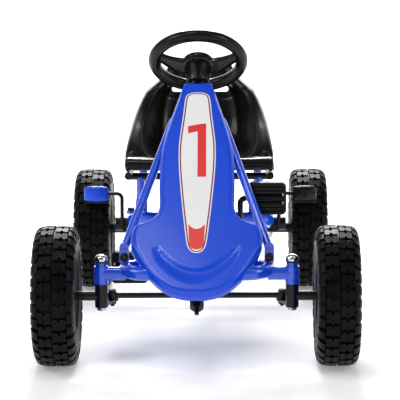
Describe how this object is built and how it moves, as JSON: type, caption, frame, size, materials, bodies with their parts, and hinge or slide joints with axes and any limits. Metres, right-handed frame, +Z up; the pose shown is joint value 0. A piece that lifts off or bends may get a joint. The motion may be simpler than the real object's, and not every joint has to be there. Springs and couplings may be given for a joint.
{
  "type": "pedal go kart",
  "caption": "Child's pedal go kart with a tube frame, knobby pneumatic tyres, bucket seat, nose fairing, linked steering, chain drive and rear hand brake.",
  "frame": {"origin": "on the floor, in the middle of the footprint", "axes": "+Z up, -Y forwards, +X to the driver's left"},
  "size_m": [0.596, 0.96, 0.5986],
  "materials": {
    "blue_paint": "gloss",
    "blue_plastic": "gloss",
    "blue_rim": "gloss",
    "black_plastic": "gloss",
    "black_grip": "satin",
    "black_steel": "satin",
    "tyre": "matte",
    "pad_rubber": "matte",
    "zinc": "satin",
    "chrome": "polished",
    "nylon": "matte",
    "decal": "gloss"
  },
  "bodies": {
    "frame": {"front_bow_tube": "blue_paint", "rear_bow_tube": "blue_paint", "spine_tube": "blue_paint", "rear_beam": "black_steel", "brace_tubes": "blue_paint", "steering_heads": "blue_paint", "column_sleeve": "blue_paint", "nose_struts": "blue_paint", "frame_bolts": "black_steel", "frame_tabs": "blue_paint", "column_strap": "black_steel", "axle_carriers": "black_steel", "axle_bearings": "zinc", "chain": "zinc", "chain_guard": "black_plastic", "spine_brackets": "blue_paint", "crank_bushes": "nylon", "nose_fairing": "blue_plastic", "number_panel": "decal", "nose_pads": "black_plastic", "seat_rails": "black_steel", "rail_caps": "black_plastic", "seat_cross_bars": "black_steel", "seat_uprights": "blue_paint"},
    "steering": {"steering_column": "black_steel", "column_nuts": "black_steel", "pitman_arm": "black_steel", "steering_wheel": "black_grip", "steering_wheel_boss": "black_plastic"},
    "left_knuckle": {"left_knuckle": "black_steel", "left_kingpin_and_nut": "chrome"},
    "right_knuckle": {"right_knuckle": "black_steel", "right_kingpin_and_nut": "chrome"},
    "tie_rod": {"tie_rod": "black_steel", "tie_rod_bolts": "black_steel"},
    "left_front_wheel": {"left_front_tyre": "tyre", "left_front_rim": "blue_rim", "left_front_bushes": "nylon"},
    "right_front_wheel": {"right_front_tyre": "tyre", "right_front_rim": "blue_rim", "right_front_bushes": "nylon"},
    "rear_axle": {"rear_axle": "black_steel", "rear_axle_nuts": "zinc", "rear_cog": "zinc", "left_rear_tyre": "tyre", "left_rear_rim": "blue_rim"},
    "right_rear_wheel": {"right_rear_tyre": "tyre", "right_rear_rim": "blue_rim", "right_rear_bushes": "nylon"},
    "crank": {"pedal_crank": "black_steel", "chainring": "zinc"},
    "left_pedal": {"left_pedal": "black_grip"},
    "right_pedal": {"right_pedal": "black_grip"},
    "seat": {"seat_shell": "black_plastic", "seat_slides": "black_steel", "seat_lock_knob": "black_plastic"},
    "brake": {"brake_bar": "black_steel", "brake_pads": "pad_rubber", "left_brake_shoe": "black_plastic", "right_brake_shoe": "blue_plastic"}
  },
  "joints": [
    {"name": "steering_turn", "type": "hinge", "parent": "frame", "child": "steering", "pos_m": [0, -0.35, 0.11], "axis": [0, 0.6428, 0.766], "range_deg": [-38, 38]},
    {"name": "left_knuckle_turn", "type": "hinge", "parent": "frame", "child": "left_knuckle", "pos_m": [0.176, -0.35, 0.13], "axis": [0, 0, 1], "range_deg": [-19.3, 19.3]},
    {"name": "right_knuckle_turn", "type": "hinge", "parent": "frame", "child": "right_knuckle", "pos_m": [-0.176, -0.35, 0.13], "axis": [0, 0, 1], "range_deg": [-19.3, 19.3]},
    {"name": "tie_rod_turn", "type": "hinge", "parent": "left_knuckle", "child": "tie_rod", "pos_m": [0.159, -0.295, 0.119], "axis": [0, 0, 1], "range_deg": [-21.4, 21.4]},
    {"name": "left_front_spin", "type": "hinge", "parent": "left_knuckle", "child": "left_front_wheel", "pos_m": [0.258, -0.35, 0.13], "axis": [1, 0, 0], "continuous": true},
    {"name": "right_front_spin", "type": "hinge", "parent": "right_knuckle", "child": "right_front_wheel", "pos_m": [-0.258, -0.35, 0.13], "axis": [1, 0, 0], "continuous": true},
    {"name": "rear_axle_spin", "type": "hinge", "parent": "frame", "child": "rear_axle", "pos_m": [0, 0.35, 0.13], "axis": [1, 0, 0], "continuous": true},
    {"name": "right_rear_spin", "type": "hinge", "parent": "frame", "child": "right_rear_wheel", "pos_m": [-0.2345, 0.35, 0.13], "axis": [1, 0, 0], "continuous": true},
    {"name": "crank_spin", "type": "hinge", "parent": "frame", "child": "crank", "pos_m": [0, -0.155, 0.212], "axis": [1, 0, 0], "continuous": true},
    {"name": "left_pedal_spin", "type": "hinge", "parent": "crank", "child": "left_pedal", "pos_m": [0.134, -0.18134, 0.28436], "axis": [1, 0, 0], "continuous": true},
    {"name": "right_pedal_spin", "type": "hinge", "parent": "crank", "child": "right_pedal", "pos_m": [-0.134, -0.12866, 0.13964], "axis": [1, 0, 0], "continuous": true},
    {"name": "seat_slide", "type": "slide", "parent": "frame", "child": "seat", "axis": [0, 1, 0], "range_m": [-0.03, 0.03]},
    {"name": "brake_swing", "type": "hinge", "parent": "frame", "child": "brake", "pos_m": [0, 0.24, 0.144], "axis": [-1, 0, 0], "range_deg": [0, 4.7]}
  ],
  "couplings": [
    {"joint": "left_knuckle_turn", "follows": "steering_turn", "ratio": 0.505},
    {"joint": "right_knuckle_turn", "follows": "steering_turn", "ratio": 0.505},
    {"joint": "tie_rod_turn", "follows": "steering_turn", "ratio": -0.55903},
    {"joint": "crank_spin", "follows": "rear_axle_spin", "ratio": 0.78571}
  ]
}
